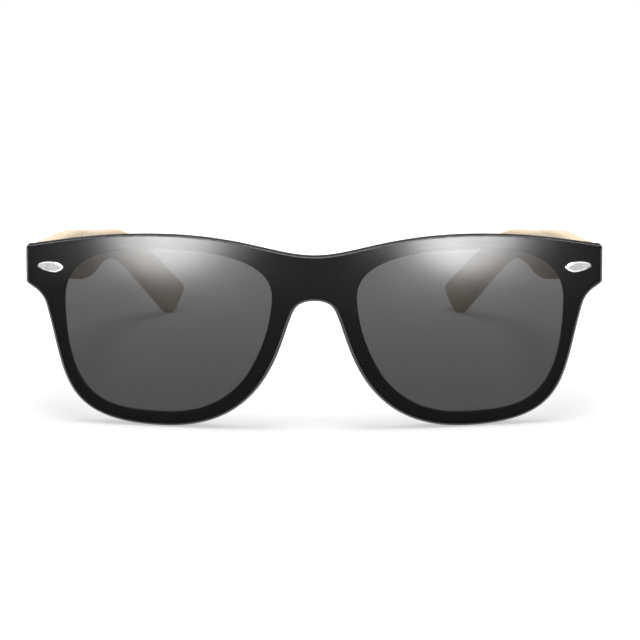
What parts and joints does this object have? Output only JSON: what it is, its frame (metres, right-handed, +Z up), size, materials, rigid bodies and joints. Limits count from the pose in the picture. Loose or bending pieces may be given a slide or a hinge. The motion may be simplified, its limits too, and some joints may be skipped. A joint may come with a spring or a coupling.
{
  "type": "sunglasses",
  "caption": "Sunglasses with a one-piece dark shield lens on a black moulded front, and bamboo temples that fold on spring hinges.",
  "frame": {"origin": "middle of the bounding box's bottom face, on the surface that the open pair stands on", "axes": "+Z up, -Y the way the lens faces, +X the wearer's left"},
  "size_m": [0.146, 0.156, 0.049],
  "materials": {
    "front_plastic": "polished black",
    "lens_tint": "polished dark grey tint",
    "plaque_silver": "polished",
    "hinge_steel": "satin",
    "screw_steel": "polished",
    "spring_steel": "drawn wire",
    "bush_brass": "turned",
    "bamboo": "oiled pale bamboo"
  },
  "bodies": {
    "front": {"front_frame": "front_plastic", "shield_lens": "lens_tint", "left_plaque": "plaque_silver", "right_plaque": "plaque_silver", "left_front_leaf": "hinge_steel", "right_front_leaf": "hinge_steel", "left_hinge_screw": "screw_steel", "right_hinge_screw": "screw_steel"},
    "left_tang": {"left_hinge_tang": "hinge_steel", "left_spring_stop": "hinge_steel"},
    "right_tang": {"right_hinge_tang": "hinge_steel", "right_spring_stop": "hinge_steel"},
    "left_temple": {"left_temple": "bamboo", "left_hinge_housing": "hinge_steel", "left_guide_bush": "bush_brass", "left_hinge_spring": "spring_steel", "left_housing_screws": "screw_steel"},
    "right_temple": {"right_temple": "bamboo", "right_hinge_housing": "hinge_steel", "right_guide_bush": "bush_brass", "right_hinge_spring": "spring_steel", "right_housing_screws": "screw_steel"}
  },
  "joints": [
    {"name": "left_temple_fold", "type": "hinge", "parent": "front", "child": "left_tang", "pos_m": [0.0658, -0.05901, 0.039], "axis": [0, 0, 1], "range_deg": [0, 85]},
    {"name": "left_spring_slide", "type": "slide", "parent": "left_tang", "child": "left_temple", "axis": [0, 1, 0], "range_m": [0, 0.0014], "stiffness_N_per_m": 3000, "springref_m": -0.001, "deforming": ["left_hinge_spring"]},
    {"name": "right_temple_fold", "type": "hinge", "parent": "front", "child": "right_tang", "pos_m": [-0.0658, -0.05901, 0.039], "axis": [0, 0, -1], "range_deg": [0, 67]},
    {"name": "right_spring_slide", "type": "slide", "parent": "right_tang", "child": "right_temple", "axis": [0, 1, 0], "range_m": [0, 0.0014], "stiffness_N_per_m": 3000, "springref_m": -0.001, "deforming": ["right_hinge_spring"]}
  ]
}
